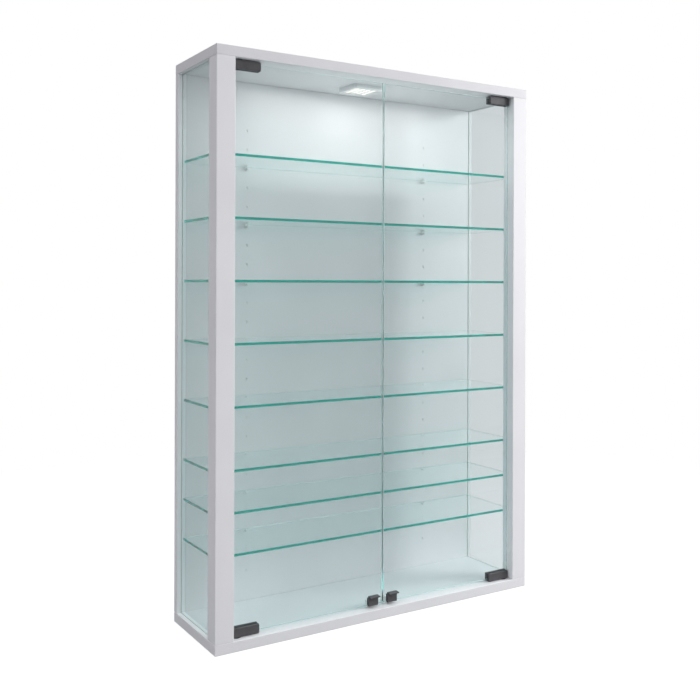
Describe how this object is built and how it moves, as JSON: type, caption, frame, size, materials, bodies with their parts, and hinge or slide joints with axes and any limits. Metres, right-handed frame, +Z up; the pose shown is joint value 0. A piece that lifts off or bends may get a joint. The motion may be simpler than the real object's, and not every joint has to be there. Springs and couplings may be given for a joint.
{
  "type": "display cabinet",
  "caption": "Shallow glazed wall cabinet: white board frame, glass sides, glass shelves on pins, hinged frameless glass doors with clip handles, and a small lamp under the top.",
  "frame": {"origin": "middle of the underside of the bottom panel", "axes": "+X to the right of someone facing the doors, +Y to the back (the wall), +Z up"},
  "size_m": [0.6, 0.17, 0.9],
  "materials": {
    "white_board": "white faced board, satin",
    "clear_glass": "clear float glass with polished green edges",
    "dark_metal": "black, satin",
    "steel": "bright zinc plated",
    "white_plastic": "moulded, matt",
    "black_plastic": "moulded, matt",
    "magnet": "ground, matt",
    "lamp_metal": "satin anodised",
    "lamp_clear": "clear, polished",
    "lamp_board": "white printed board",
    "lamp_light": "lit, cool white",
    "beech": "plain beech",
    "rubber": "matt"
  },
  "bodies": {
    "cabinet": {"top_panel": "white_board", "bottom_panel": "white_board", "left_front_post": "white_board", "right_front_post": "white_board", "back_panel": "white_board", "left_side_glass": "clear_glass", "right_side_glass": "clear_glass", "glass_shelf_1": "clear_glass", "glass_shelf_2": "clear_glass", "glass_shelf_3": "clear_glass", "glass_shelf_4": "clear_glass", "glass_shelf_5": "clear_glass", "glass_shelf_6": "clear_glass", "glass_shelf_7": "clear_glass", "glass_shelf_8": "clear_glass", "rear_shelf_pins": "white_plastic", "front_shelf_pins": "white_plastic", "board_screws": "steel", "catch_screws": "steel", "lamp_screws": "steel", "hanger_screws": "steel", "left_hanger_plate": "steel", "right_hanger_plate": "steel", "screw_plugs": "white_plastic", "left_catch_housing": "white_plastic", "right_catch_housing": "white_plastic", "pivot_bushes": "black_plastic", "catch_magnets": "magnet", "lamp_housing": "lamp_metal", "lamp_cover": "lamp_clear", "lamp_circuit": "lamp_board", "lamp_chips": "lamp_light", "dowels": "beech", "lead_grommet": "rubber"},
    "left_door": {"left_door_glass": "clear_glass", "left_upper_hinge": "dark_metal", "left_lower_hinge": "dark_metal", "left_hinge_liners": "rubber", "left_pressure_plates": "dark_metal", "left_clamp_screws": "steel", "left_pivot_pins": "steel", "left_handle": "dark_metal"},
    "right_door": {"right_door_glass": "clear_glass", "right_upper_hinge": "dark_metal", "right_lower_hinge": "dark_metal", "right_hinge_liners": "rubber", "right_pressure_plates": "dark_metal", "right_clamp_screws": "steel", "right_pivot_pins": "steel", "right_handle": "dark_metal"}
  },
  "joints": [
    {"name": "left_door_hinge", "type": "hinge", "parent": "cabinet", "child": "left_door", "pos_m": [-0.259, -0.07, 0.45], "axis": [0, 0, -1], "range_deg": [0, 100]},
    {"name": "right_door_hinge", "type": "hinge", "parent": "cabinet", "child": "right_door", "pos_m": [0.259, -0.07, 0.45], "axis": [0, 0, 1], "range_deg": [0, 100]}
  ]
}
